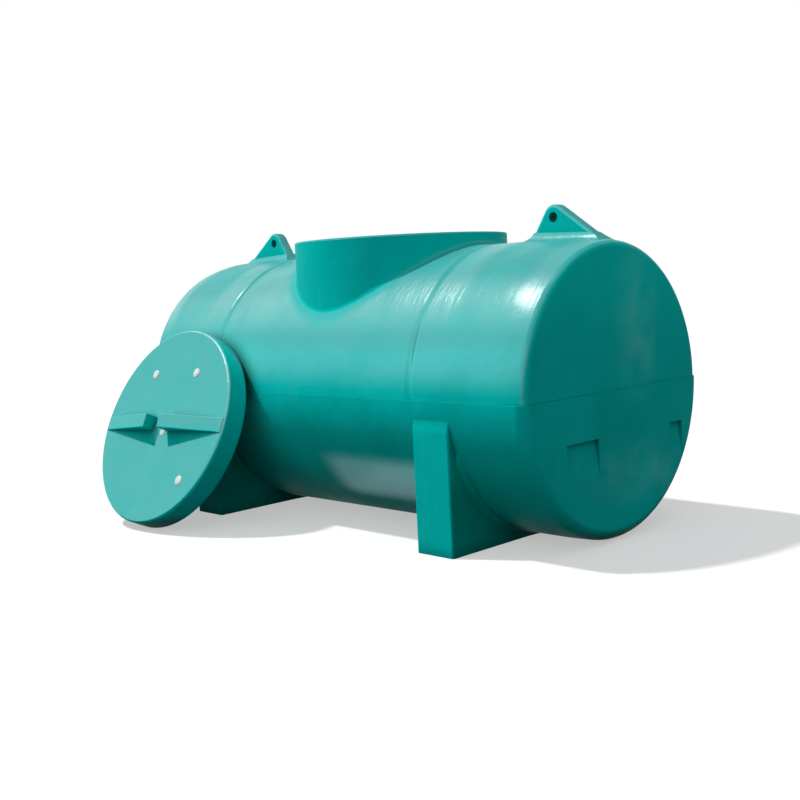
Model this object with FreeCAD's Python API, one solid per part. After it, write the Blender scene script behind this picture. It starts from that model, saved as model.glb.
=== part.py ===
import FreeCAD
import Part
import math
import os

# Horizontal plastic water tank on two moulded saddles, with its lift-off lid leaning in front.
# Millimetres. X runs along the barrel, Y to the back, Z up, and the floor is Z = 0.
# Modelled about the barrel's axis, then set so that the origin is the middle of the footprint.

# Barrel
barrel_diameter = 1000.0
barrel_length = 2000.0
wall = 8.0
belly_clearance = 3.0
parting_step = 3.0
shoulder_length = 150.0
upper_shoulder_radius = 600.0
lower_shoulder_radius = 2000.0
upper_edge_radius = 25.0
lower_edge_radius = 38.0
band_inset = 470.0
groove_width = 36.0
groove_depth = 3.0

# Neck and the manhole through its top
neck_diameter = 808.0
neck_offset = 34.0
neck_rise = 49.0
neck_foot_radius = 30.0
neck_edge_radius = 6.0
rim_width = 59.0

# Lifting lugs on the crown
lug_inset = 258.0
lug_thickness = 46.0
lug_height = 115.0
lug_top_radius = 42.0
lug_inner_angle = 57.0
lug_outer_angle = 35.5
lug_edge_radius = 11.0
lug_hole_diameter = 34.0
lug_foot_height = 28.0
lug_foot_radius = 50.0
lug_foot_sink = 0.2
lug_foot_slope = 2.7

# Saddles
saddle_inset = 380.0
saddle_width = 158.0
saddle_overhang = 3.0
saddle_shoulder_drop = 104.0
saddle_shoulder_radius = 120.0
saddle_edge_radius = 8.0
saddle_seam_radius = 25.0
saddle_seam_sink = 3.0
saddle_seam_setback = 32.0

# Outlet pads sunk in the lower half of each end
pad_offset = 203.0
pad_width = 170.0
far_pad_offset = 340.0
far_pad_width = 80.0
pad_drop = 148.0
pad_height = 120.0
pad_depth = 14.0
pad_slant = 4.0

# Lid, standing on its edge and leaning on the barrel
lid_diameter = 777.0
lid_thickness = 88.0
lid_edge_radius = 10.0
lid_inset = 389.0
lid_lean = 25.2
lid_gap = 0.3
bar_width = 55.0
bar_height = 60.0
bar_end_height = 2.5
bar_edge_radius = 2.0
bar_slot = 90.0
bar_turn = 2.8

lower_radius = barrel_diameter / 2
upper_radius = lower_radius - parting_step
half_length = barrel_length / 2
shoulder_start = half_length - shoulder_length
band_half_length = half_length - band_inset
axis_height = lower_radius + belly_clearance
neck_radius = neck_diameter / 2
manhole_radius = neck_radius - rim_width
crown_height = axis_height + upper_radius
rim_height = crown_height + neck_rise
lid_radius = lid_diameter / 2
lug_foot_reach = lug_thickness / 2 + lug_foot_radius
lug_foot_depth = upper_radius - math.sqrt(upper_radius ** 2 - lug_foot_reach ** 2) + lug_foot_sink

ORIGIN = FreeCAD.Vector(0, 0, 0)
AXIS_X = FreeCAD.Vector(1, 0, 0)
AXIS_Y = FreeCAD.Vector(0, 1, 0)
AXIS_Z = FreeCAD.Vector(0, 0, 1)
SIDES = {"left": -1, "right": 1}
FACES = {"front": -1, "back": 1}
LEVELS = {"upper": 1, "lower": -1}
RADII = {"upper": upper_radius, "lower": lower_radius}
END_X = {"upper": half_length - parting_step, "lower": half_length}
SHOULDER_RADII = {"upper": upper_shoulder_radius, "lower": lower_shoulder_radius}
EDGE_RADII = {"upper": upper_edge_radius, "lower": lower_edge_radius}
PADS = {"front": (-pad_offset, pad_width), "back": (far_pad_offset, far_pad_width)}


def vec(x, y, z):
    return FreeCAD.Vector(x, y, z)


def box(x_range, y_range, z_range):
    size = [high - low for low, high in (x_range, y_range, z_range)]
    return Part.makeBox(*size, vec(x_range[0], y_range[0], z_range[0]))


def wire_face(edges):
    return Part.Face(Part.Wire(edges))


def polygon_face(corners):
    return Part.Face(Part.makePolygon(corners + corners[:1]))


def rectangle(x_range, y_range):
    """Rectangle in the XY plane."""
    (x0, x1), (y0, y1) = x_range, y_range
    return polygon_face([vec(x0, y0, 0), vec(x1, y0, 0), vec(x1, y1, 0), vec(x0, y1, 0)])


def line(start, end):
    return Part.LineSegment(start, end).toShape()


def arc(center, arc_radius, start_angle, end_angle, along, across):
    """Arc about center from start to end, in degrees from along towards across."""
    points = []
    for angle in (start_angle, (start_angle + end_angle) / 2, end_angle):
        turn = math.radians(angle)
        points.append(center + along * (arc_radius * math.cos(turn)) + across * (arc_radius * math.sin(turn)))
    return Part.Arc(*points).toShape(), points[0], points[-1]


def on_axis(shape):
    """Lift a shape made about the X axis to the height of the barrel's axis."""
    return shape.translated(vec(0, 0, axis_height))


def ring_segment(x_range, level, face):
    """Quarter of the barrel wall between two x stations, the lower ones with a rounded lip on top."""
    front, top = FACES[face], LEVELS[level]
    inner, outer = front * (RADII[level] - wall), front * RADII[level]
    section = rectangle(x_range, (inner, outer))
    quarter = section.revolve(ORIGIN, AXIS_X * (front * top), 90)
    if level == "lower":
        level_edges = [edge for edge in quarter.Edges if edge.BoundBox.ZMin > -1]
        lip = [edge for edge in level_edges if abs(edge.BoundBox.Center.y - outer) < 1]
        quarter = quarter.makeFillet(parting_step, lip)
    return on_axis(quarter)


def band_groove(side):
    """Ring that presses a shallow round groove into the upper half."""
    tube = groove_depth / 2 + groove_width ** 2 / (8 * groove_depth)
    center = vec(SIDES[side] * band_half_length, 0, axis_height)
    return Part.makeTorus(upper_radius - groove_depth + tube, tube, center, AXIS_X)


def end_section(side, level, inset):
    """Half section of an end, set in from its outside: a long shoulder, a tight edge and the flat."""
    out, forward = vec(SIDES[side], 0, 0), vec(0, -1, 0)
    edge_radius = EDGE_RADII[level]
    reach = END_X[level] - edge_radius - shoulder_start
    span = SHOULDER_RADII[level] - edge_radius
    turn = math.degrees(math.acos(reach / span))
    start = out * shoulder_start
    bend = start + forward * (RADII[level] - SHOULDER_RADII[level])
    corner = bend + out * reach + forward * math.sqrt(span ** 2 - reach ** 2)
    shoulder, rim, _ = arc(bend, SHOULDER_RADII[level] - inset, 90, turn, out, forward)
    rounding, _, tangent = arc(corner, edge_radius - inset, turn, 0, out, forward)
    middle = out * (END_X[level] - inset)
    return wire_face([line(start, rim), shoulder, rounding, line(tangent, middle), line(middle, start)])


def end_form(side, level, inset):
    """Solid half of an end, set in from its outside."""
    return end_section(side, level, inset).revolve(ORIGIN, AXIS_X * (-LEVELS[level]), 180)


def upper_end(side):
    """Upper half of an end, as a dished plate of even wall."""
    return on_axis(end_form(side, "upper", 0).cut(end_form(side, "upper", wall)))


def barrel_body():
    """The barrel's outer form as one solid, for cutting what stands on it."""
    halves = []
    for level in LEVELS:
        straight = rectangle((-shoulder_start, shoulder_start), (-RADII[level], 0))
        half = straight.revolve(ORIGIN, AXIS_X * (-LEVELS[level]), 180)
        for side in SIDES:
            half = half.fuse(end_form(side, level, 0))
        halves.append(half)
    return on_axis(halves[0].fuse(halves[1]).removeSplitter())


def pad_wedge(side, pad, grown):
    """Wedge that sinks an outlet pad: deepest at the top, running out at the bottom."""
    out = SIDES[side]
    pad_y, width = PADS[pad]
    slope = pad_depth / (pad_height - pad_slant)
    face_x = half_length - grown
    half_width = width / 2 + grown
    bottom = -pad_drop - pad_height
    top = -pad_drop + grown
    deep_z = top - pad_slant
    deep_x = face_x - grown * (math.hypot(1, slope) - 1) - slope * (deep_z - bottom)
    y = pad_y - half_width
    corners = [vec(out * face_x, y, bottom), vec(out * face_x, y, top), vec(out * deep_x, y, deep_z)]
    return polygon_face(corners).extrude(AXIS_Y * (2 * half_width))


def lower_end(side):
    """Lower half of an end, with a ledge that carries the upper half's edge and two sunk pads."""
    form = end_form(side, "lower", 0)
    lip = [edge for edge in form.Edges if is_end_lip(edge)]
    form = form.makeFillet(parting_step, lip)
    slab = box((-barrel_length, barrel_length), (-barrel_diameter, barrel_diameter), (-wall, 0))
    mouth = end_section(side, "upper", wall).revolve(ORIGIN, AXIS_X, 360)
    ledge = form.common(slab).cut(mouth)
    cap = form.cut(end_form(side, "lower", wall)).fuse(ledge)
    for pad in PADS:
        cap = cap.fuse(pad_wedge(side, pad, wall).common(form))
        cap = cap.cut(pad_wedge(side, pad, 0))
    return on_axis(cap.removeSplitter())


def is_end_lip(edge):
    """True for the outer edges of a lower end at the parting plane."""
    bounds = edge.BoundBox
    level_edge = bounds.ZLength < 1e-6 and abs(bounds.ZMax) < 1e-6
    return level_edge and abs(bounds.Center.x) > shoulder_start + 1 and abs(bounds.Center.y) > 1


def neck_collar():
    """Neck wall, its flared foot and the patch of barrel wall that carries it."""
    center = vec(neck_offset, 0, axis_height)
    height = rim_height - wall - axis_height
    start = vec(-band_half_length, 0, axis_height)
    band = Part.makeCylinder(upper_radius, 2 * band_half_length, start, AXIS_X)
    stem = Part.makeCylinder(neck_radius, height, center, AXIS_Z)
    joined = band.fuse(stem)
    seam = [edge for edge in joined.Edges if is_neck_seam(edge)]
    joined = joined.makeFillet(neck_foot_radius, seam)
    bore = Part.makeCylinder(neck_radius - wall, height, center, AXIS_Z)
    hollow = Part.makeCylinder(upper_radius - wall, 2 * band_half_length, start, AXIS_X)
    patch = Part.makeCylinder(collar_radius(), height, center, AXIS_Z)
    return joined.common(patch).cut(bore).cut(hollow)


def is_neck_seam(edge):
    """True for the edge where the neck runs into the barrel."""
    middle = edge.valueAt((edge.FirstParameter + edge.LastParameter) / 2)
    reach = math.hypot(middle.x - neck_offset, middle.y)
    height = middle.z - axis_height
    on_neck = abs(reach - neck_radius) < 0.5
    on_band = abs(math.hypot(middle.y, height) - upper_radius) < 0.5
    return on_neck and on_band and height > 0


def collar_radius():
    return neck_radius + neck_foot_radius + wall


def neck_rim():
    """Flat flange round the manhole, with a rounded outer edge."""
    base = vec(neck_offset, 0, rim_height - wall)
    disc = Part.makeCylinder(neck_radius, wall, base, AXIS_Z)
    top_edge = [edge for edge in disc.Edges if edge.BoundBox.ZMin > rim_height - wall / 2]
    disc = disc.makeFillet(neck_edge_radius, top_edge)
    hole = Part.makeCylinder(manhole_radius, wall, base, AXIS_Z)
    return disc.cut(hole)


def lug_profile(tip):
    """Outline of a lug in the XZ plane: hole above X = 0, crown at Z = 0, outer tip at X = tip."""
    steep, gentle = math.radians(lug_inner_angle), math.radians(lug_outer_angle)
    crest = vec(0, 0, lug_height - lug_top_radius)
    top, outer, inner = arc(crest, lug_top_radius, 90 - lug_outer_angle, 90 + lug_inner_angle, AXIS_X, AXIS_Z)
    flare_z = lug_foot_radius * (1 - math.cos(steep)) - lug_foot_depth
    flare_top = vec(inner.x - (inner.z - flare_z) / math.tan(steep), 0, flare_z)
    hollow = flare_top + vec(-math.sin(steep), 0, math.cos(steep)) * lug_foot_radius
    flare, _, toe = arc(hollow, lug_foot_radius, lug_inner_angle - 90, -90, AXIS_X, AXIS_Z)
    outer_toe = vec(tip, 0, outer.z - (tip - outer.x) * math.tan(gentle))
    root = outer_toe.z - 2 * wall
    inner_root, outer_root = vec(toe.x, 0, root), vec(tip, 0, root)
    sides = [line(inner, flare_top), flare, line(toe, inner_root), line(inner_root, outer_root)]
    return wire_face([top] + sides + [line(outer_root, outer_toe), line(outer_toe, outer)])


def lug_foot(profile):
    """Flared foot along both faces of a lug, falling a little towards its outer tip."""
    face = lug_thickness / 2
    root = profile.BoundBox.ZMin
    rise = lug_foot_radius - lug_foot_depth - lug_foot_height
    spread = math.sqrt(lug_foot_radius ** 2 - rise ** 2)
    turn = math.degrees(math.atan2(rise, spread))
    edges = [line(vec(0, face, lug_foot_height), vec(0, -face, lug_foot_height))]
    feet = []
    for out in FACES.values():
        hollow = vec(0, out * (face + spread), lug_foot_radius - lug_foot_depth)
        flare, _, toe = arc(hollow, lug_foot_radius, -turn, -90, AXIS_Y * -out, AXIS_Z)
        foot = vec(0, toe.y, root - barrel_diameter)
        edges += [flare, line(toe, foot)]
        feet.append(foot)
    edges.append(line(*feet))
    section = Part.Face(Part.Wire(Part.sortEdges(edges)[0]))
    strip = section.extrude(AXIS_X * barrel_length).translated(AXIS_X * -half_length)
    strip.rotate(vec(profile.BoundBox.XMin, 0, 0), AXIS_Y, lug_foot_slope)
    block = profile.extrude(AXIS_Y * barrel_diameter).translated(AXIS_Y * -lower_radius)
    return strip.common(block)


def lug(side, body):
    """Lifting lug with rounded edges and a flared foot, steep towards the neck."""
    eye_x = neck_offset + SIDES[side] * (half_length - lug_inset)
    profile = lug_profile(END_X["upper"] - upper_edge_radius - abs(eye_x))
    plate = profile.extrude(vec(0, lug_thickness, 0)).translated(vec(0, -lug_thickness / 2, 0))
    rounded = [edge for edge in plate.Edges if abs(edge.BoundBox.YLength) < 1e-6 and edge.BoundBox.ZMax > 0]
    plate = plate.makeFillet(lug_edge_radius, rounded).fuse(lug_foot(profile))
    hole_start = vec(0, -lug_thickness / 2, lug_height - lug_top_radius)
    plate = plate.cut(Part.makeCylinder(lug_hole_diameter / 2, lug_thickness, hole_start, AXIS_Y))
    if side == "left":
        plate = plate.mirror(ORIGIN, AXIS_X)
    plate.translate(vec(eye_x, 0, crown_height))
    return plate.cut(body)


def saddle_outline(out, inset, base):
    """Half outline of a saddle in the YZ plane from base up, its face rounding over into the barrel."""
    reach = lower_radius + saddle_overhang - inset
    rounding_radius = saddle_shoulder_radius - inset
    center = vec(0, out * (reach - rounding_radius), axis_height - saddle_shoulder_drop)
    shoulder, face_top, top = arc(center, rounding_radius, 0, 90, AXIS_Y * out, AXIS_Z)
    middle, face_foot, middle_top = vec(0, 0, base), vec(0, out * reach, base), vec(0, 0, top.z)
    flanks = [line(middle, face_foot), line(face_foot, face_top), shoulder]
    return wire_face(flanks + [line(top, middle_top), line(middle_top, middle)])


def saddle_seam(x, away):
    """Ring of concave fillet between the barrel and a saddle's flank at x."""
    step = AXIS_X * away
    hollow = vec(x, lower_radius + saddle_seam_radius - saddle_seam_sink, 0) + step * saddle_seam_radius
    fillet, top, toe = arc(hollow, saddle_seam_radius, 180, 270, step, AXIS_Y)
    root = lower_radius - wall
    toe_root = vec(toe.x, root, 0)
    inner_root, inner_top = vec(x, root, 0) - step * wall, top - step * wall
    below = [line(toe, toe_root), line(toe_root, inner_root)]
    section = wire_face([fillet] + below + [line(inner_root, inner_top), line(inner_top, top)])
    return on_axis(section.revolve(ORIGIN, AXIS_X, 360))


def saddle(side, face, body):
    """Front or back half of a hollow saddle, open towards the barrel that sits in it."""
    out = FACES[face]
    start = SIDES[side] * (half_length - saddle_inset) - saddle_width / 2
    block = saddle_outline(out, 0, 0).extrude(AXIS_X * saddle_width)
    rounded = [edge for edge in block.Edges if is_saddle_corner(edge)]
    block = block.makeFillet(saddle_edge_radius, rounded).translated(AXIS_X * start)
    field = saddle_outline(out, saddle_seam_setback, 0).extrude(AXIS_X * barrel_length)
    field.translate(AXIS_X * -half_length)
    for x, away in ((start, -1), (start + saddle_width, 1)):
        block = block.fuse(saddle_seam(x, away).common(field))
    core = saddle_outline(out, wall, wall).extrude(AXIS_X * (saddle_width - 2 * wall))
    return block.cut(core.translated(AXIS_X * (start + wall))).cut(body)


def is_saddle_corner(edge):
    """True for the upright edges where a saddle's face meets its flanks."""
    bounds = edge.BoundBox
    return bounds.XLength < 1e-6 and bounds.ZLength > wall and abs(bounds.Center.y) > wall


def lid_skin(back):
    """One of the lid's two dished skins, which meet half way through its thickness."""
    half = lid_thickness / 2
    outer = lid_half_disc(lid_radius, half, lid_edge_radius)
    inner = lid_half_disc(lid_radius - wall, half - wall, lid_edge_radius - wall)
    skin = outer.cut(inner)
    if back:
        skin = skin.mirror(ORIGIN, AXIS_Z)
    return skin


def lid_half_disc(disc_radius, depth, edge_radius):
    """Round-edged half disc, flat side down at Z = 0."""
    corner = vec(disc_radius - edge_radius, 0, depth - edge_radius)
    rounding, side_point, top_point = arc(corner, edge_radius, 0, 90, AXIS_X, AXIS_Z)
    rim = vec(disc_radius, 0, 0)
    crown = vec(0, 0, depth)
    edges = [line(ORIGIN, rim), line(rim, side_point), rounding, line(top_point, crown), line(crown, ORIGIN)]
    return wire_face(edges).revolve(ORIGIN, AXIS_Z, 360)


def lid_bar(side):
    """Half of the raised bar across the lid, highest beside the slot in its middle."""
    out = SIDES[side]
    face_z = lid_thickness / 2
    end = lid_radius - lid_edge_radius
    inner = bar_slot / 2
    end_z = face_z + bar_end_height
    inner_z = end_z + (bar_height - bar_end_height) * (end - inner) / end
    foot = [vec(out * inner, 0, face_z), vec(out * end, 0, face_z)]
    bar = polygon_face(foot + [vec(out * end, 0, end_z), vec(out * inner, 0, inner_z)])
    bar = bar.extrude(AXIS_Y * bar_width).translated(AXIS_Y * (-bar_width / 2))
    upper = [edge for edge in bar.Edges if edge.BoundBox.ZMin > face_z + bar_end_height / 2]
    bar = bar.makeFillet(bar_edge_radius, upper)
    bar.rotate(ORIGIN, AXIS_Z, bar_turn)
    return bar


def lean(shape):
    """Stand a lid piece on its lower edge, with its back against the barrel."""
    leaned = shape.copy()
    leaned.rotate(ORIGIN, AXIS_X, 90 - lid_lean)
    leaned.translate(lid_center())
    return leaned


def lid_center():
    """Middle of the leaning lid, whose upper edge, or flat back where that is nearer, meets the barrel."""
    lean_angle = math.radians(lid_lean)
    edge_ring = lid_radius - lid_edge_radius
    half_depth = lid_thickness / 2 - lid_edge_radius
    drop = half_depth * math.sin(lean_angle) + edge_ring * math.cos(lean_angle)
    center_z = drop + lid_edge_radius
    contact_z = center_z + edge_ring * math.cos(lean_angle) - half_depth * math.sin(lean_angle)
    reach = upper_radius + lid_edge_radius + lid_gap
    touch_angle = math.asin((contact_z - axis_height) / reach)
    if touch_angle < lean_angle:
        contact_y = -reach * math.cos(touch_angle)
        center_y = contact_y - half_depth * math.cos(lean_angle) - edge_ring * math.sin(lean_angle)
    else:
        depth = lid_thickness / 2 + lid_gap + upper_radius
        center_y = -(depth + (axis_height - center_z) * math.sin(lean_angle)) / math.cos(lean_angle)
    return vec(lid_inset - half_length, center_y, center_z)


def build():
    pieces = {}
    body = barrel_body()
    collar = neck_collar()
    center = vec(neck_offset, 0, axis_height)
    collar_cut = Part.makeCylinder(collar_radius(), rim_height, center, AXIS_Z)
    grooves = [band_groove(side) for side in SIDES]
    middle_band = (-band_half_length, band_half_length)
    stations = {"left": (-shoulder_start, -band_half_length), "middle": middle_band,
                "right": (band_half_length, shoulder_start)}
    for level in LEVELS:
        for face in FACES:
            for station, x_range in stations.items():
                segment = ring_segment(x_range, level, face)
                if level == "upper":
                    segment = segment.cut(grooves)
                if level == "upper" and station == "middle":
                    segment = segment.cut(collar_cut)
                pieces[f"{level}_shell_{station}_{face}"] = segment
    for side in SIDES:
        pieces[f"{side}_end_upper"] = upper_end(side)
        pieces[f"{side}_end_lower"] = lower_end(side)
        pieces[f"{side}_lug"] = lug(side, body)
        for face in FACES:
            pieces[f"{side}_saddle_{face}"] = saddle(side, face, body)
        pieces[f"lid_bar_{side}"] = lean(lid_bar(side))
    front_half = box((-half_length, half_length), (-lower_radius, 0), (0, rim_height))
    pieces["neck_front"] = collar.common(front_half)
    pieces["neck_back"] = collar.cut(front_half)
    pieces["neck_rim"] = neck_rim()
    pieces["lid_front_skin"] = lean(lid_skin(False))
    pieces["lid_back_skin"] = lean(lid_skin(True))
    return pieces


def main():
    os.makedirs("parts", exist_ok=True)
    pieces = build()
    bounds = Part.makeCompound(list(pieces.values())).optimalBoundingBox(False)
    footprint = vec(-bounds.Center.x, -bounds.Center.y, -bounds.ZMin)
    for name, shape in pieces.items():
        shape.translated(footprint).exportStep(f"parts/{name}.step")


main()
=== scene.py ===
import math
from functools import cached_property
from types import SimpleNamespace
from typing import NamedTuple

import bmesh
import bpy
from mathutils import Matrix, Vector


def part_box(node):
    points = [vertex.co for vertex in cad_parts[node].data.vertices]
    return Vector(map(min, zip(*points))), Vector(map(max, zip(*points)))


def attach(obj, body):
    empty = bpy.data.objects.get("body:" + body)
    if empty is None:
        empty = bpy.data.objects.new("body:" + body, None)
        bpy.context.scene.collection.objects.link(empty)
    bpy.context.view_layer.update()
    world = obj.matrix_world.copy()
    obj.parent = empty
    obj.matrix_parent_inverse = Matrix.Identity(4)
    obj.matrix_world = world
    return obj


# Looks of a horizontal plastic water tank with its lid leaning in front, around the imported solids.
# Metres, in the frame of the solids: X along the barrel, Y to the back, Z up, floor at Z = 0.

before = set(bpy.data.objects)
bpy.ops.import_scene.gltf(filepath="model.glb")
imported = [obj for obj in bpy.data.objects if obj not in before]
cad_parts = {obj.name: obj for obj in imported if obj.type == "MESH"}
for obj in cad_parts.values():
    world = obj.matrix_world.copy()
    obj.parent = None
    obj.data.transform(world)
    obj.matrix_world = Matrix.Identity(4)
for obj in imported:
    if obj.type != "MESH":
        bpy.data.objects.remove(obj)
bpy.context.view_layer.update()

# Places read from the solids
axis_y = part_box("left_saddle_back")[0].y
axis_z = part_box("right_end_upper")[0].z
lid_low, lid_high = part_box("lid_front_skin")
neck_low, neck_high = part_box("neck_rim")
band_low, band_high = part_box("upper_shell_middle_front")


class Ramp(NamedTuple):
    """A smooth step from least to most, as a measure goes from start to end."""

    start: float
    end: float
    least: float = 0.0
    most: float = 1.0

    def moved(self, by):
        return self._replace(start=self.start + by, end=self.end + by)


class Noise(NamedTuple):
    """Soft noise, drawn out where it is stretched less."""

    scale: float
    detail: float = 3.0
    stretch: tuple = (1, 1, 1)
    turn: tuple = (0, 0, 0)


class Patches(NamedTuple):
    """Noise cut by a ramp into patches."""

    noise: Noise
    ramp: Ramp


class Oval(NamedTuple):
    """A soft oval patch, which is full where the squared distance from its middle is under core."""

    middle: tuple
    sizes: tuple
    core: float = 0.1


# Camera of the photograph, about the barrel's axis
CAMERA_FROM_AXIS = (3.0504, -3.0299, 0.3819)
CAMERA_YAW = 0.791
CAMERA_PITCH = 0.1061
CAMERA_ROLL = -0.0504
SENSOR_WIDTH = 36.0
LENS = 49.92

# Light
KEY_FROM = (-0.44, -0.25, 0.86)
KEY_STRENGTH = 2.6
KEY_ANGLE = math.radians(3)
FILL_FROM = (0.3, -0.9, 0.3)
FILL_STRENGTH = 0.65
FILL_ANGLE = math.radians(70)
SKY_LOW = (0.15, 0.152, 0.155)
SKY_HIGH = (0.36, 0.365, 0.37)
WHITE = (1.0, 1.0, 1.0)

# Floor
FLOOR_HALF = 30.0
FLOOR_BOUNCE = (0.06, 0.06, 0.06)
FLOOR_SEEN = (0.6, 0.6, 0.6)
FLOOR_GLOW = 0.45
FLOOR_ROUGHNESS = 0.9

# Colours, linear
TEAL = (0.0, 0.70, 0.66)
TEAL_DEEP = (0.0, 0.60, 0.565)
# Painted light: a lighter teal for the upper part of the end faces
TEAL_END_LIGHT = (0.0, 0.86, 0.79)
# Painted light: a paler teal just above the sides
TEAL_PAINTED_LIGHT = (0.11, 0.73, 0.71)
# Sun-faded teal, which also paints a sheen on lit faces
TEAL_FADE_AND_SHEEN = (0.115, 0.565, 0.545)
# Dusty teal, which also paints shade that darkens the sunlit top
TEAL_DUST_AND_SHADE = (0.045, 0.37, 0.36)
# Painted shade: a plain teal for the ends' edges and the neck's foot
TEAL_SHADED_COPY = (0.04, 0.51, 0.485)
# Painted reflection of the floor on the lower barrel
PAINTED_FLOOR_REFLECTION = (0.16, 0.80, 0.84)
# Painted highlight and sheen
PAINTED_HIGHLIGHT = (0.35, 0.75, 0.72)
# Painted shade in the rings, a crease and corners
PAINTED_SHADE_DARK = (0.0, 0.11, 0.09)
# Painted shade on the lower half's undersides and low flanks
PAINTED_SHADE_GREEN = (0.0, 0.20, 0.13)
# Painted shade on the upward ledges of the lower half
LEDGE_SHADE_GREEN = (0.0, 0.23, 0.18)
BOLT_WHITE = (0.88, 0.89, 0.87)
BOLT_STAIN = (0.70, 0.68, 0.62)

# Lid and its bolts, each bolt with its place across and up from the lid's middle and its radius
LID_LEAN = math.radians(25.2)
LID_RADIUS = 0.3885
LID_THICKNESS = 0.088
LID_EDGE = 0.010
LID_BAR_TURN = math.radians(2.8)
BOLT_PLACES = (
    (-0.150, 0.199, 0.018),
    (0.121, 0.213, 0.018),
    (0.216, -0.204, 0.018),
    (0.017, -0.030, 0.0145),
)
# A bolt cap's outline from its foot to its top, as radius and height for a radius of 1
BOLT_PROFILE = (
    (1.0, -0.05),
    (1.0, 0.05),
    (0.96, 0.10),
    (0.88, 0.13),
    (0.60, 0.19),
    (0.30, 0.215),
    (0.05, 0.22),
)
BOLT_STEPS = 40

# What tells the tank's parts apart. UP and OUTWARD are how far the surface faces along Z and X.
# BACK and OVER are metres behind and over the barrel's axis, and REACH is metres from its middle.
BARREL_BACK = Ramp(-0.53, -0.52)
LOWER_OVER = Ramp(0.006, 0.003)
NECK_RADIUS = 0.448
NECK_CORE = 0.84
FOOT_UNDER_RIM = Ramp(-0.006, -0.012)
FOOT_STEEP_UP = Ramp(0.75, 0.35)
END_REACH = Ramp(0.955, 0.975)
END_OUTWARD = Ramp(0.10, 0.45)
END_STEEP_OUTWARD = Ramp(0.62, 0.92)

# The lid's rim keeps the plain teal, and so do two triangles under the wings of its bar that follow
# the bar's cast shadow: painted shadow. A painted highlight lies on the lid's upper edge
BAR_SHADOW_CORNERS = (
    ((-0.372, -0.022), (-0.009, -0.0895), (-0.045, -0.022)),
    ((0.045, -0.022), (0.081, -0.0895), (0.372, -0.022)),
)
BAR_SHADOW_EDGE = Ramp(-0.002, 0.001)
RIM_OUTWARD = Ramp(0.25, 0.5)
RIM_OFF_FACE = Ramp(0.5, 0.2)
LID_EDGE_OFF_RIM = Ramp(0.40, 0.60)
LID_EDGE_OFF_FACE = Ramp(0.97, 0.88)
LID_EDGE_UP = Ramp(0.15, 0.45)

# Where the plastic faces the sky: paler teal low on its sides (painted light), faded teal with
# painted sheen, dusty teal darkened on top by painted shade, a plain teal on the ends' edges and the
# neck's foot (painted shade), lighter upper end faces (painted light), and a band of painted sheen
PATCHY = Patches(Noise(6.0), Ramp(0.2, 0.6, 0.75, 1.0))
PALE_UP = Ramp(0.02, 0.22)
FADE_UP = Ramp(0.24, 0.42)
DUST_UP = Ramp(0.45, 0.80)
TUCKED_UP = Ramp(0.04, 0.35)
END_LIGHT_OVER = Ramp(0.10, 0.42)
HAZE_UP = Ramp(0.42, 0.56)
HAZE_UP_END = Ramp(0.84, 0.64)
HAZE = Patches(Noise(3.0, 4.0, (5.0, 1.0, 1.0)), Ramp(0.3, 0.7, 0.4, 1.0))

# Uneven colour and wear, and a painted highlight along the upper edges of the ends
MOTTLE = Patches(Noise(2.4, 5.0), Ramp(0.36, 0.64))
CLOUD = Patches(Noise(7.0, 5.0, (1.0, 1.2, 1.6)), Ramp(0.35, 0.70))
STREAK = Patches(Noise(9.0, 4.0, (3.0, 3.0, 0.22)), Ramp(0.56, 0.76))
SPECK = Patches(Noise(420.0, 2.0), Ramp(0.60, 0.72))
SCUFF = Patches(Noise(14.0, 6.0, (0.6, 6.0, 9.0), (0.3, 0.5, 0.9)), Ramp(0.66, 0.74))
EDGE_REACH = Ramp(0.976, 0.982)
EDGE_REACH_END = Ramp(0.991, 0.986)
EDGE_OVER = Ramp(0.0, 0.004)
EDGE = Patches(Noise(7.0, 4.0), Ramp(0.42, 0.60))

# On the lower half: painted shade on its undersides, low down and on its upward ledges, and a
# painted reflection of the floor
SHELF_UP = Ramp(0.04, 0.45)
SHADE_UNDER_UP = Ramp(0.03, -0.12)
UNDERSIDE_UP = Ramp(-0.05, -0.4, 0.0, 0.5)
FLANK_OUTWARD = Ramp(0.4, 0.8)
FLANK_REACH = Ramp(0.85, 0.75)
LOW_SHADE_HEIGHT = Ramp(0.50, 0.15)
LOW_SHADE_PATCHES = Patches(Noise(4.0), Ramp(0.25, 0.6, 0.6, 1.0))
REFLECTION_ALONG = Ramp(-0.02, 0.12)
REFLECTION_ALONG_END = Ramp(0.62, 0.52)
REFLECTION_UP = Ramp(-0.38, -0.52)
REFLECTION_UP_END = Ramp(-0.80, -0.68)

# Painted shade along the rings round the barrel, in a crease on the right one, and in corners
SEAM_OFF = Ramp(0.006, 0.002)
SEAM = Patches(Noise(8.0), Ramp(0.35, 0.65))
CREASE_OFF_RING = 0.005
CREASE_OVER = 0.175
CREASE_SIZES = (0.005, 0.085)
CREASE_BACK = Ramp(-0.10, -0.20)
CORNER_DISTANCE = 0.08
CORNER_SAMPLES = 6
CORNER_OPEN = Ramp(0.85, 0.35)

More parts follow.
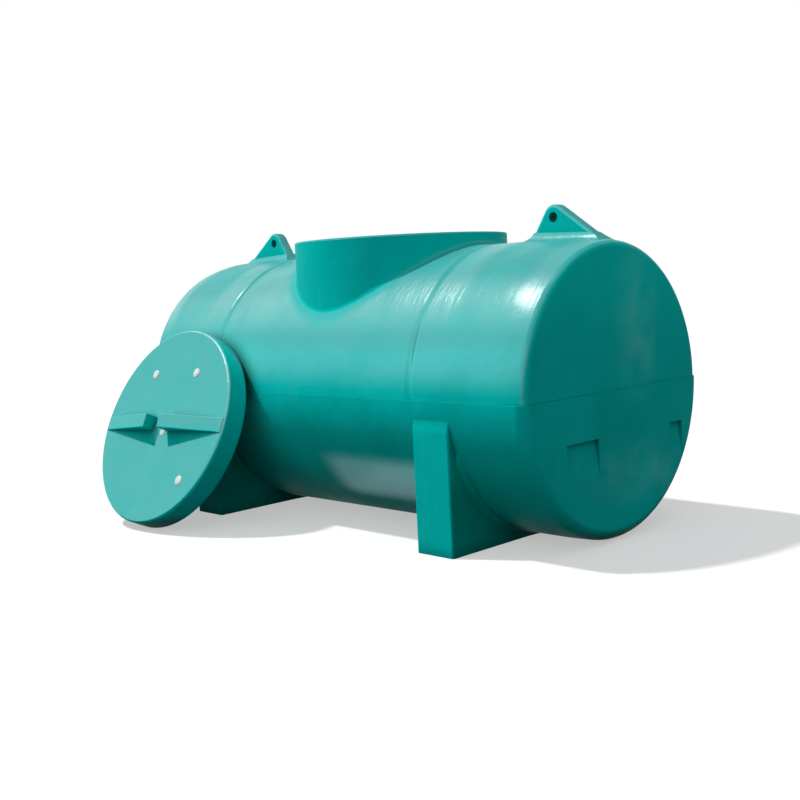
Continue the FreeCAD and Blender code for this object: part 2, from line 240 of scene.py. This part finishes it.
# Layers of colour over the mottled plastic, in order: mask, share and tint. Cloud, streak, scuff and
# speck are the plastic's own uneven colour and wear; the others paint light, sheen, highlights,
# shade and a reflection, some on top of real fading and dust
LAYERS = (
    ("end_painted_light", 1.0, TEAL_END_LIGHT),
    ("pale", 1.0, TEAL_PAINTED_LIGHT),
    ("fade_and_sheen", 1.0, TEAL_FADE_AND_SHEEN),
    ("dust_and_shade", 1.0, TEAL_DUST_AND_SHADE),
    ("shaded_copy", 0.65, TEAL_SHADED_COPY),
    ("sheen_band", 0.24, PAINTED_HIGHLIGHT),
    ("cloud", 0.16, TEAL_DEEP),
    ("edge", 0.25, PAINTED_HIGHLIGHT),
    ("lid_edge", 0.7, PAINTED_HIGHLIGHT),
    ("streak", 0.12, TEAL_FADE_AND_SHEEN),
    ("scuff", 0.15, TEAL_DUST_AND_SHADE),
    ("speck", 0.10, TEAL_DEEP),
    ("underside_shade", 0.13, PAINTED_SHADE_GREEN),
    ("low_shade", 0.55, PAINTED_SHADE_GREEN),
    ("ledge_shade", 0.75, LEDGE_SHADE_GREEN),
    ("floor_reflection", 0.8, PAINTED_FLOOR_REFLECTION),
    ("seam", 0.18, PAINTED_SHADE_DARK),
    ("crease", 0.4, PAINTED_SHADE_DARK),
    ("corner", 0.8, PAINTED_SHADE_DARK),
)

# Gloss: polish on the upper barrel, dulled near the glint, and two smears on each end
ROUGH = Patches(Noise(7.0, 5.0), Ramp(0.3, 0.7, 0.40, 0.52))
SCUFF_ROUGHNESS = 0.10
COAT_ROUGHNESS = 0.31
SPECULAR_LEVEL = 0.02
POLISH = Patches(Noise(5.0, 4.0), Ramp(0.3, 0.7, 0.7, 1.0))
POLISH_UP = Ramp(0.36, 0.66)
POLISH_CROWN_UP = Ramp(0.80, 1.0, 1.0, 0.7)
POLISH_OUTWARD = Ramp(0.50, 0.20)
POLISH_LUG_OVER = Ramp(0.510, 0.498, 0.25, 1.0)
POLISH_LID = Ramp(0.0, 1.0, 0.8, 1.0)
POLISH_OFF_SEAM = Ramp(0.008, 0.020, 0.05, 1.0)
DULL_REACH = 0.79
DULL_OFF = Ramp(0.09, 0.15, 0.36, 1.0)
SMEAR = Patches(Noise(9.0, 4.0), Ramp(0.2, 0.8))
SMEAR_HIGH = Oval((0.11, 0.22), (0.16, 0.32))
SMEAR_LOW = Oval((0.08, -0.29), (0.34, 0.13))
SMEAR_SHARE = 0.28

# Relief: a slow swell, lines drawn round the barrel, ripples and the fine peel of the moulding
SWELL = Noise(5.0, 3.0, (1.4, 0.8, 0.8))
SWELL_REACH = Ramp(0.97, 0.78)
SWELL_MIDDLE = 0.5
SWELL_DEPTH = 0.0045
LINES = Noise(1.0, 4.0, (70.0, 9.0, 9.0))
LINES_OFF_SEAM = Ramp(0.20, 0.04)
LINES_UP = Ramp(0.40, 0.60)
LINES_BY_SEAM = Ramp(0.0, 1.0, 1.0, 2.1)
LINES_DEPTH = 0.0011
RIPPLE = Noise(30.0, 3.0)
RIPPLE_DEPTH = 0.0008
PEEL = Noise(190.0, 2.0)
PEEL_DEPTH = 0.0002

# Bolt caps
BOLT_STAINED = Patches(Noise(90.0, 4.0), Ramp(0.45, 0.70))
BOLT_ROUGH = Patches(Noise(160.0), Ramp(0.3, 0.7, 0.28, 0.45))
BOLT_PEEL = Noise(600.0)
BOLT_PEEL_DEPTH = 0.0001


class Graph:
    """Short-hand for wiring the nodes of a material or of the world."""

    def __init__(self, owner):
        owner.use_nodes = True
        self.tree = owner.node_tree

    @cached_property
    def place(self):
        return self.add("ShaderNodeTexCoord").outputs["Object"]

    @cached_property
    def normal(self):
        return self.add("ShaderNodeNewGeometry").outputs["Normal"]

    def add(self, kind, **settings):
        node = self.tree.nodes.new(kind)
        for name, value in settings.items():
            setattr(node, name, value)
        return node

    def feed(self, socket, value):
        if isinstance(value, bpy.types.NodeSocket):
            self.tree.links.new(value, socket)
        else:
            socket.default_value = value

    def shade(self, name, value):
        """Set or link an input of the material's shader."""
        self.feed(self.tree.nodes["Principled BSDF"].inputs[name], value)

    def math(self, operation, a, b=0.0, clamp=True):
        node = self.add("ShaderNodeMath", operation=operation, use_clamp=clamp)
        self.feed(node.inputs[0], a)
        self.feed(node.inputs[1], b)
        return node.outputs[0]

    def product(self, first, *others):
        for other in others:
            first = self.math("MULTIPLY", first, other)
        return first

    def most(self, first, *others):
        for other in others:
            first = self.math("MAXIMUM", first, other)
        return first

    def inverse(self, mask):
        return self.math("SUBTRACT", 1.0, mask)

    def gap(self, value, start):
        """Distance of a value from a start, either way."""
        return self.math("ABSOLUTE", self.math("SUBTRACT", value, start, clamp=False))

    def vector_math(self, operation, a, b):
        node = self.add("ShaderNodeVectorMath", operation=operation)
        self.feed(node.inputs[0], a)
        self.feed(node.inputs[1], b)
        return node.outputs

    def dot(self, vector, direction):
        return self.vector_math("DOT_PRODUCT", vector, direction)["Value"]

    def split(self, vector):
        parts = self.add("ShaderNodeSeparateXYZ")
        self.feed(parts.inputs[0], vector)
        return parts.outputs

    def span(self, value, ramp):
        node = self.add("ShaderNodeMapRange", interpolation_type="SMOOTHSTEP")
        self.feed(node.inputs["Value"], value)
        node.inputs["From Min"].default_value = ramp.start
        node.inputs["From Max"].default_value = ramp.end
        node.inputs["To Min"].default_value = ramp.least
        node.inputs["To Max"].default_value = ramp.most
        return node.outputs["Result"]

    def noise(self, noise):
        place = self.place
        if noise.stretch != (1, 1, 1):
            mapping = self.add("ShaderNodeMapping")
            self.feed(mapping.inputs["Vector"], place)
            mapping.inputs["Scale"].default_value = noise.stretch
            mapping.inputs["Rotation"].default_value = noise.turn
            place = mapping.outputs["Vector"]
        node = self.add("ShaderNodeTexNoise")
        self.feed(node.inputs["Vector"], place)
        node.inputs["Scale"].default_value = noise.scale
        node.inputs["Detail"].default_value = noise.detail
        return node.outputs["Fac"]

    def patches(self, patches):
        return self.span(self.noise(patches.noise), patches.ramp)

    def mix(self, share, a, b):
        node = self.add("ShaderNodeMix", data_type="RGBA")
        self.feed(node.inputs["Factor"], share)
        for socket, value in zip(node.inputs[6:8], (a, b)):
            linked = isinstance(value, bpy.types.NodeSocket)
            self.feed(socket, value if linked else (*value, 1.0))
        return node.outputs[2]

    def bump(self, height, depth, below=None):
        node = self.add("ShaderNodeBump")
        node.inputs["Strength"].default_value = 1.0
        node.inputs["Distance"].default_value = depth
        self.feed(node.inputs["Height"], height)
        if below is not None:
            self.feed(node.inputs["Normal"], below)
        return node.outputs["Normal"]

    def blob(self, places, oval):
        """1 in the middle of a soft oval patch, 0 outside it."""
        total = 0.0
        for place, start, size in zip(places, oval.middle, oval.sizes):
            off = self.math("SUBTRACT", place, start, clamp=False)
            off = self.math("DIVIDE", off, size, clamp=False)
            square = self.math("MULTIPLY", off, off, clamp=False)
            total = self.math("ADD", total, square, clamp=False)
        return self.span(total, Ramp(1.0, oval.core))

    def inside(self, corners, out, depth):
        """1 inside a flat patch, given by its corners in turn as seen against out."""
        edges = []
        for start, end in zip(corners, corners[1:] + corners[:1]):
            inward = out.cross(end - start).normalized()
            along = self.dot(self.place, inward)
            off = self.math("SUBTRACT", along, inward.dot(start), clamp=False)
            edges.append(self.span(off, depth))
        return self.product(*edges)

    def corner(self):
        """Painted shade from occlusion: 1 deep in a corner, 0 on open surface."""
        node = self.add("ShaderNodeAmbientOcclusion", samples=CORNER_SAMPLES)
        node.inputs["Distance"].default_value = CORNER_DISTANCE
        return self.span(node.outputs["AO"], CORNER_OPEN)


def lid_place():
    """Matrix from the lid's own axes, with Z out of its front face, to the frame."""
    out = Vector((0, -math.cos(LID_LEAN), math.sin(LID_LEAN)))
    up = Vector((0, math.sin(LID_LEAN), math.cos(LID_LEAN)))
    reach = LID_RADIUS - LID_EDGE
    depth = LID_THICKNESS / 2 - LID_EDGE
    middle_x = (lid_low.x + lid_high.x) / 2
    middle_y = lid_low.y + LID_EDGE + reach * math.sin(LID_LEAN) + depth * math.cos(LID_LEAN)
    middle_z = reach * math.cos(LID_LEAN) + depth * math.sin(LID_LEAN) + LID_EDGE
    face = Vector((middle_x, middle_y, middle_z)) + out * (LID_THICKNESS / 2)
    turn = Matrix((Vector((1, 0, 0)), up, out)).transposed().to_4x4()
    return Matrix.Translation(face) @ turn


def find_parts(graph):
    """Measures of the surface, and masks that are 1 on a part of the tank and 0 off it."""
    part = SimpleNamespace()
    sideways, _, part.up = graph.split(graph.normal)
    part.outward = graph.math("ABSOLUTE", sideways)
    from_axis = graph.vector_math("SUBTRACT", graph.place, (0.0, axis_y, axis_z))["Vector"]
    part.along, part.back, part.over = graph.split(from_axis)
    part.reach = graph.math("ABSOLUTE", part.along)
    part.from_seam = graph.math(
        "MINIMUM", graph.gap(part.along, band_low.x), graph.gap(part.along, band_high.x)
    )
    part.on_barrel = graph.span(part.back, BARREL_BACK)
    part.lower = graph.product(graph.span(part.over, LOWER_OVER), part.on_barrel)

    neck = (neck_low + neck_high) / 2
    neck_oval = Oval((neck.x, neck.y - axis_y), (NECK_RADIUS, NECK_RADIUS), NECK_CORE)
    on_neck = graph.blob((part.along, part.back), neck_oval)
    under_rim = graph.span(part.over, FOOT_UNDER_RIM.moved(neck_high.z - axis_z))
    part.off_neck = graph.inverse(on_neck)
    part.neck_foot = graph.product(on_neck, under_rim)

    near_end = graph.span(part.reach, END_REACH)
    part.on_end = graph.product(near_end, graph.span(part.outward, END_OUTWARD))
    steep = graph.most(
        graph.product(near_end, graph.span(part.outward, END_STEEP_OUTWARD)),
        graph.product(part.neck_foot, graph.span(part.up, FOOT_STEEP_UP)),
    )

    lid = lid_place()
    lid_out = lid.to_3x3().col[2]
    bar = lid @ Matrix.Rotation(LID_BAR_TURN, 4, "Z")
    off_barrel = graph.inverse(part.on_barrel)
    facing = graph.dot(graph.normal, lid_out)
    rim = graph.product(
        graph.span(part.outward, RIM_OUTWARD), graph.span(facing, RIM_OFF_FACE)
    )
    # Triangles under the bar's wings, laid on its cast shadow: painted shadow
    wings = []
    for wing in BAR_SHADOW_CORNERS:
        corners = [bar @ Vector((*corner, 0.0)) for corner in wing]
        wings.append(graph.inside(corners, lid_out, BAR_SHADOW_EDGE))
    plain_rim_and_shadow = graph.product(graph.most(*wings, rim), off_barrel)
    # Painted highlight on the lid's upper edge
    part.lid_edge = graph.product(
        graph.span(facing, LID_EDGE_OFF_RIM),
        graph.span(facing, LID_EDGE_OFF_FACE),
        graph.span(part.up, LID_EDGE_UP),
        off_barrel,
    )
    # The sky-facing layers of painted light, sheen and shade skip the lower half, the steep sides,
    # the lid's rim and the bar's shadow
    part.sky = graph.inverse(graph.most(part.lower, steep, plain_rim_and_shadow))
    return part


def find_wear(graph, part):
    """Masks of the layers of colour, by name: wear, and painted light, sheen, highlights, shade and
    a reflection.
    """
    patchy = graph.patches(PATCHY)
    ends_and_foot = graph.most(part.neck_foot, part.on_end)
    flank = graph.product(
        graph.span(part.outward, FLANK_OUTWARD), graph.span(part.reach, FLANK_REACH)
    )
    crease = Oval((band_high.x + CREASE_OFF_RING, CREASE_OVER), CREASE_SIZES)
    return {
        # Painted light on the upper part of each end face
        "end_painted_light": graph.product(part.on_end, graph.span(part.over, END_LIGHT_OVER)),
        # Painted light: paler low on the sides
        "pale": graph.product(graph.span(part.up, PALE_UP), patchy, part.sky),
        # Sun fading and painted sheen on upward faces
        "fade_and_sheen": graph.product(graph.span(part.up, FADE_UP), part.sky),
        # Dust and painted shade on the top
        "dust_and_shade": graph.product(graph.span(part.up, DUST_UP), patchy, part.sky),
        # Painted shade on the ends' edges and the neck's foot
        "shaded_copy": graph.product(ends_and_foot, graph.span(part.up, TUCKED_UP), part.sky),
        # A band of painted sheen on the crown
        "sheen_band": graph.product(
            graph.span(part.up, HAZE_UP),
            graph.span(part.up, HAZE_UP_END),
            part.sky,
            part.off_neck,
            part.on_barrel,
            graph.patches(HAZE),
        ),
        "cloud": graph.patches(CLOUD),
        # Painted highlight along the upper edges of the ends
        "edge": graph.product(
            graph.span(part.reach, EDGE_REACH),
            graph.span(part.reach, EDGE_REACH_END),
            graph.patches(EDGE),
            graph.span(part.over, EDGE_OVER),
        ),
        # Painted highlight on the lid's upper edge
        "lid_edge": part.lid_edge,
        "streak": graph.patches(STREAK),
        "scuff": graph.patches(SCUFF),
        "speck": graph.patches(SPECK),
        # Painted shade on the lower half's undersides
        "underside_shade": graph.product(graph.span(part.up, SHADE_UNDER_UP), part.lower),
        # Painted shade low on the barrel and its flanks
        "low_shade": graph.product(
            graph.span(part.over, LOW_SHADE_HEIGHT.moved(-axis_z)),
            graph.most(graph.span(part.up, UNDERSIDE_UP), flank),
            part.on_barrel,
            graph.patches(LOW_SHADE_PATCHES),
        ),
        # Painted shade on the lower half's upward ledges
        "ledge_shade": graph.product(graph.span(part.up, SHELF_UP), part.lower),
        # Painted reflection of the floor, where the coat also reflects it
        "floor_reflection": graph.product(
            graph.span(part.along, REFLECTION_ALONG),
            graph.span(part.along, REFLECTION_ALONG_END),
            graph.span(part.up, REFLECTION_UP),
            graph.span(part.up, REFLECTION_UP_END),
        ),
        # Painted shade along the rings
        "seam": graph.product(
            graph.span(part.from_seam, SEAM_OFF), graph.patches(SEAM), part.on_barrel
        ),
        # Painted shade for a crease on the right ring
        "crease": graph.product(
            graph.blob((part.along, part.over), crease), graph.span(part.back, CREASE_BACK)
        ),
        # Painted shade in corners, from occlusion
        "corner": graph.product(graph.corner(), part.off_neck),
    }


def set_colour(graph, wear):
    colour = graph.mix(graph.patches(MOTTLE), TEAL, TEAL_DEEP)
    for name, share, tint in LAYERS:
        colour = graph.mix(graph.product(wear[name], share), colour, tint)
    graph.shade("Base Color", colour)


def set_gloss(graph, part, wear):
    rough = graph.patches(ROUGH)
    scuffed = graph.math("MULTIPLY", wear["scuff"], SCUFF_ROUGHNESS)
    polish = graph.product(
        graph.span(part.up, POLISH_UP),
        graph.patches(POLISH),
        part.sky,
        part.off_neck,
        graph.span(part.from_seam, POLISH_OFF_SEAM),
        graph.span(part.up, POLISH_CROWN_UP),
        graph.span(graph.gap(part.reach, DULL_REACH), DULL_OFF),
        graph.span(part.outward, POLISH_OUTWARD),
        graph.span(part.over, POLISH_LUG_OVER),
        graph.span(part.on_barrel, POLISH_LID),
    )
    places = (part.back, part.over)
    smear = graph.product(
        graph.most(graph.blob(places, SMEAR_HIGH), graph.blob(places, SMEAR_LOW)),
        graph.patches(SMEAR),
        part.on_end,
        SMEAR_SHARE,
    )
    coat = graph.math("ADD", graph.math("ADD", polish, wear["floor_reflection"]), smear)
    graph.shade("Roughness", graph.math("ADD", rough, scuffed))
    graph.shade("Coat Weight", coat)
    graph.shade("Coat Roughness", COAT_ROUGHNESS)
    graph.shade("Specular IOR Level", SPECULAR_LEVEL)


def set_relief(graph, part):
    swell = graph.math("SUBTRACT", graph.noise(SWELL), SWELL_MIDDLE, clamp=False)
    swell = graph.math("MULTIPLY", swell, graph.span(part.reach, SWELL_REACH), clamp=False)
    by_seam = graph.product(
        graph.span(part.from_seam, LINES_OFF_SEAM),
        part.on_barrel,
        graph.span(part.up, LINES_UP),
    )
    deeper = graph.span(by_seam, LINES_BY_SEAM)
    lines = graph.math("MULTIPLY", graph.noise(LINES), deeper, clamp=False)
    relief = graph.bump(swell, SWELL_DEPTH)
    relief = graph.bump(lines, LINES_DEPTH, relief)
    relief = graph.bump(graph.noise(RIPPLE), RIPPLE_DEPTH, relief)
    relief = graph.bump(graph.noise(PEEL), PEEL_DEPTH, relief)
    graph.shade("Normal", relief)
    graph.shade("Coat Normal", relief)


def tank_plastic():
    """Teal moulded polyethylene, faded and dusty where it faces the sky and streaked, with painted
    light, sheen, highlights, a painted floor reflection, and painted shade in corners and low down.
    """
    material = bpy.data.materials.new("tank_plastic")
    graph = Graph(material)
    part = find_parts(graph)
    wear = find_wear(graph, part)
    set_colour(graph, wear)
    set_gloss(graph, part, wear)
    set_relief(graph, part)
    return material


def bolt_plastic():
    """White nylon cap, stained in patches."""
    material = bpy.data.materials.new("bolt_plastic")
    graph = Graph(material)
    graph.shade("Base Color", graph.mix(graph.patches(BOLT_STAINED), BOLT_WHITE, BOLT_STAIN))
    graph.shade("Roughness", graph.patches(BOLT_ROUGH))
    graph.shade("Normal", graph.bump(graph.noise(BOLT_PEEL), BOLT_PEEL_DEPTH))
    return material


def turned(profile, steps, place):
    """Mesh maker for a solid of revolution from (radius, height) points."""

    def make(form):
        rings = []
        for radius, height in profile:
            ring = []
            for step in range(steps):
                turn = 2 * math.pi * step / steps
                point = Vector((radius * math.cos(turn), radius * math.sin(turn), height))
                ring.append(form.verts.new(place @ point))
            rings.append(ring)
        for low, high in zip(rings, rings[1:]):
            for step in range(steps):
                after = (step + 1) % steps
                form.faces.new((low[step], low[after], high[after], high[step]))
        form.faces.new(rings[0][::-1])
        form.faces.new(rings[-1])

    return make


def add_piece(name, mesh_maker, material):
    """A smooth mesh piece that rides on the tank."""
    mesh = bpy.data.meshes.new(name)
    form = bmesh.new()
    mesh_maker(form)
    bmesh.ops.recalc_face_normals(form, faces=form.faces)
    for face in form.faces:
        face.smooth = True
    form.to_mesh(mesh)
    form.free()
    mesh.materials.append(material)
    piece = bpy.data.objects.new(name, mesh)
    bpy.context.scene.collection.objects.link(piece)
    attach(piece, "root")


def add_bolts(material):
    for number, (across, up, size) in enumerate(BOLT_PLACES, 1):
        place = lid_place() @ Matrix.Translation((across, up, 0)) @ Matrix.Scale(size, 4)
        maker = turned(BOLT_PROFILE, BOLT_STEPS, place)
        add_piece(f"lid_bolt_{number}", maker, material)


def add_camera():
    level = Vector((math.cos(CAMERA_YAW), math.sin(CAMERA_YAW), 0))
    flat_ahead = Vector((-math.sin(CAMERA_YAW), math.cos(CAMERA_YAW), 0))
    ahead = flat_ahead * math.cos(CAMERA_PITCH) - Vector((0, 0, math.sin(CAMERA_PITCH)))
    rise = level.cross(ahead)
    right = math.cos(CAMERA_ROLL) * level + math.sin(CAMERA_ROLL) * rise
    up = math.cos(CAMERA_ROLL) * rise - math.sin(CAMERA_ROLL) * level
    data = bpy.data.cameras.new("camera")
    data.sensor_width = SENSOR_WIDTH
    data.lens = LENS
    camera = bpy.data.objects.new("camera", data)
    camera.matrix_world = Matrix((right, up, -ahead)).transposed().to_4x4()
    camera.location = Vector(CAMERA_FROM_AXIS) + Vector((0, axis_y, axis_z))
    bpy.context.scene.collection.objects.link(camera)
    bpy.context.scene.camera = camera


def add_sun(name, source, strength, angle):
    """A sun that shines from a direction."""
    data = bpy.data.lights.new(name, "SUN")
    data.energy = strength
    data.angle = angle
    lamp = bpy.data.objects.new(name, data)
    lamp.rotation_mode = "QUATERNION"
    lamp.rotation_quaternion = (-Vector(source)).to_track_quat("-Z", "Y")
    bpy.context.scene.collection.objects.link(lamp)


def seen(graph):
    """1 for the rays that see the background: those of the camera and of reflections."""
    path = graph.add("ShaderNodeLightPath").outputs
    return graph.most(path["Is Camera Ray"], path["Is Glossy Ray"], path["Is Transmission Ray"])


def add_world():
    """A sky that lights more from above than from the horizon, and is white where it is seen."""
    world = bpy.data.worlds.new("world")
    bpy.context.scene.world = world
    graph = Graph(world)
    _, _, up = graph.split(graph.add("ShaderNodeTexCoord").outputs["Generated"])
    colour = graph.mix(seen(graph), graph.mix(up, SKY_LOW, SKY_HIGH), WHITE)
    graph.feed(graph.tree.nodes["Background"].inputs["Color"], colour)


def add_floor():
    """A pale floor that keeps the tank's shadow and throws little light back on it."""
    low, high = -FLOOR_HALF, FLOOR_HALF
    corners = [(low, low, 0), (high, low, 0), (high, high, 0), (low, high, 0)]
    mesh = bpy.data.meshes.new("floor")
    mesh.from_pydata(corners, [], [(0, 1, 2, 3)])
    material = bpy.data.materials.new("floor")
    graph = Graph(material)
    share = seen(graph)
    graph.shade("Base Color", graph.mix(share, FLOOR_BOUNCE, FLOOR_SEEN))
    graph.shade("Emission Color", (*WHITE, 1.0))
    graph.shade("Emission Strength", graph.math("MULTIPLY", share, FLOOR_GLOW))
    graph.shade("Specular IOR Level", 0.0)
    graph.shade("Roughness", FLOOR_ROUGHNESS)
    mesh.materials.append(material)
    floor = bpy.data.objects.new("floor", mesh)
    bpy.context.scene.collection.objects.link(floor)


def main():
    bpy.context.scene.view_settings.view_transform = "Standard"
    plastic = tank_plastic()
    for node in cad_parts.values():
        node.data.materials.clear()
        node.data.materials.append(plastic)
    add_bolts(bolt_plastic())
    add_camera()
    add_sun("key", KEY_FROM, KEY_STRENGTH, KEY_ANGLE)
    add_sun("fill", FILL_FROM, FILL_STRENGTH, FILL_ANGLE)
    add_world()
    add_floor()


main()
